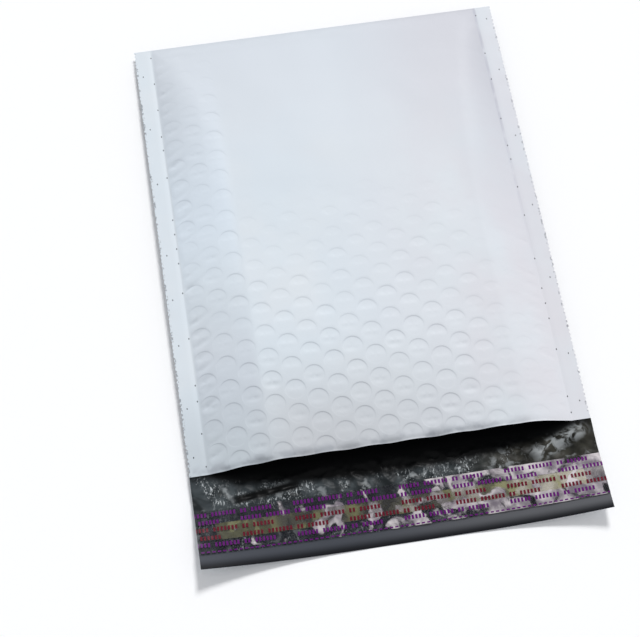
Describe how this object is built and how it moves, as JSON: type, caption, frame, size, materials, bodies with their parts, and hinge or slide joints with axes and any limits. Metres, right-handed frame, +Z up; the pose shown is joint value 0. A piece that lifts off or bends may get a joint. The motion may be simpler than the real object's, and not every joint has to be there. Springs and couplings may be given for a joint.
{
  "type": "padded film mailer",
  "caption": "Padded film envelope lying on its back, mouth open: bubble lining pressed through the front panel, welded side seals, and a flap with an adhesive strip under a peel-off liner.",
  "frame": {"origin": "on the table, under the middle of the box around the mailer and its unfolded flap", "axes": "+Y from the flap's end to the bottom fold, +Z up through the front panel, +X to the right seen from the flap"},
  "size_m": [0.2, 0.298, 0.0139],
  "materials": {
    "white_film": "satin white film, dark grey on its inside",
    "bubble_film": "clear grey bubble film",
    "adhesive": "tacky yellowish hot-melt",
    "liner_film": "glossy translucent film with printed bars"
  },
  "bodies": {
    "root": {"outer_film": "white_film", "bubble_lining": "bubble_film", "adhesive_strip": "adhesive", "release_liner": "liner_film"}
  },
  "joints": []
}
